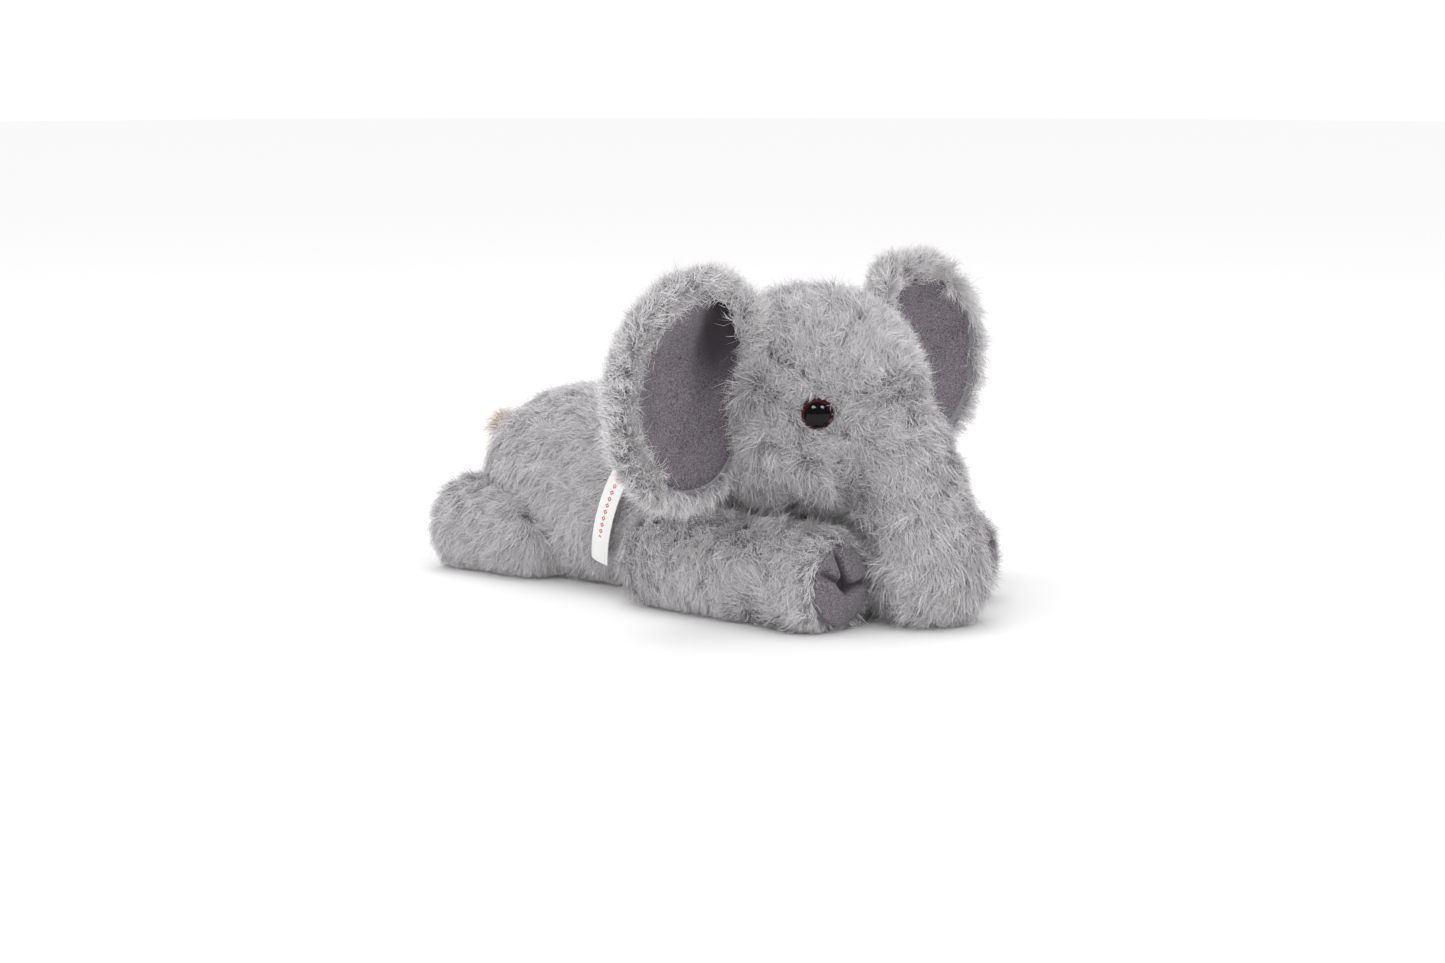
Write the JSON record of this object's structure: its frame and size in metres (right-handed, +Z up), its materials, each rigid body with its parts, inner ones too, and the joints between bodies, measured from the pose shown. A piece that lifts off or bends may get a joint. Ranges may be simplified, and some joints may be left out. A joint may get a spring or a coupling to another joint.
{
  "type": "plush elephant",
  "caption": "Soft long-pile plush elephant lying on its belly, with suede ear linings and soles, glossy eyes and a satin care label.",
  "frame": {"origin": "on the floor under the middle of the animal's overall box", "axes": "+Z up, -Y the way the head faces, +X the animal's left"},
  "size_m": [0.2452, 0.303, 0.156],
  "materials": {
    "fur_grey": "long soft pile",
    "fur_tan": "long soft pile with a light tan tint",
    "suede_grey": "fine short-napped suede",
    "satin_white": "satin weave",
    "eye_plastic": "gloss",
    "washer_plastic": "satin",
    "polyester_fill": "loose fibre",
    "pouch_cotton": "plain weave"
  },
  "bodies": {
    "torso": {"torso_back_left": "fur_grey", "torso_back_right": "fur_grey", "torso_belly": "fur_grey", "torso_stuffing": "polyester_fill", "pellet_pouch": "pouch_cotton"},
    "head": {"head_side_left": "fur_grey", "head_side_right": "fur_grey", "head_crown": "fur_grey", "head_chin": "fur_grey", "head_stuffing": "polyester_fill", "eye_left": "eye_plastic", "eye_right": "eye_plastic", "eye_washer_left": "washer_plastic", "eye_washer_right": "washer_plastic"},
    "trunk": {"trunk_front": "fur_grey", "trunk_underside": "fur_grey", "trunk_stuffing": "polyester_fill"},
    "tail": {"tail": "fur_tan"},
    "care_label": {"care_label": "satin_white"},
    "ear_left": {"ear_back_left": "fur_grey", "ear_lining_left": "suede_grey"},
    "front_leg_left": {"front_leg_left_outer": "fur_grey", "front_leg_left_inner": "fur_grey", "front_leg_left_sole": "suede_grey", "front_leg_left_stuffing": "polyester_fill"},
    "hind_leg_left": {"hind_leg_left_outer": "fur_grey", "hind_leg_left_inner": "fur_grey", "hind_leg_left_sole": "suede_grey", "hind_leg_left_stuffing": "polyester_fill"},
    "ear_right": {"ear_back_right": "fur_grey", "ear_lining_right": "suede_grey"},
    "front_leg_right": {"front_leg_right_outer": "fur_grey", "front_leg_right_inner": "fur_grey", "front_leg_right_sole": "suede_grey", "front_leg_right_stuffing": "polyester_fill"},
    "hind_leg_right": {"hind_leg_right_outer": "fur_grey", "hind_leg_right_inner": "fur_grey", "hind_leg_right_sole": "suede_grey", "hind_leg_right_stuffing": "polyester_fill"}
  },
  "joints": [
    {"name": "head_lift", "type": "hinge", "parent": "torso", "child": "head", "pos_m": [0, -0.0395, 0.068], "axis": [-1, 0, 0], "range_deg": [0, 12]},
    {"name": "trunk_bend", "type": "hinge", "parent": "head", "child": "trunk", "pos_m": [0, -0.09853, 0.082], "axis": [-1, 0, 0], "range_deg": [0, 25]},
    {"name": "ear_left_flap", "type": "hinge", "parent": "head", "child": "ear_left", "pos_m": [0.042, -0.04399, 0.105], "axis": [0, 0, -1], "range_deg": [-25, 25]},
    {"name": "ear_right_flap", "type": "hinge", "parent": "head", "child": "ear_right", "pos_m": [-0.042, -0.04399, 0.105], "axis": [0, 0, 1], "range_deg": [-25, 25]},
    {"name": "front_leg_left_splay", "type": "hinge", "parent": "torso", "child": "front_leg_left", "pos_m": [0.0475, -0.0155, 0.0207], "axis": [0, 0, 1], "range_deg": [0, 35]},
    {"name": "hind_leg_left_splay", "type": "hinge", "parent": "torso", "child": "hind_leg_left", "pos_m": [0.039, 0.0865, 0.0207], "axis": [0, 0, -1], "range_deg": [0, 30]},
    {"name": "front_leg_right_splay", "type": "hinge", "parent": "torso", "child": "front_leg_right", "pos_m": [-0.0475, -0.0155, 0.0207], "axis": [0, 0, -1], "range_deg": [0, 35]},
    {"name": "hind_leg_right_splay", "type": "hinge", "parent": "torso", "child": "hind_leg_right", "pos_m": [-0.039, 0.0865, 0.0207], "axis": [0, 0, 1], "range_deg": [0, 30]},
    {"name": "tail_wag", "type": "hinge", "parent": "torso", "child": "tail", "pos_m": [0, 0.1465, 0.0609], "axis": [0, 1, 0], "range_deg": [-35, 35]},
    {"name": "label_flap", "type": "hinge", "parent": "torso", "child": "care_label", "pos_m": [-0.0468, 0.0145, 0.0583], "axis": [0, 0.9659, 0.2588], "range_deg": [0, 60]}
  ]
}
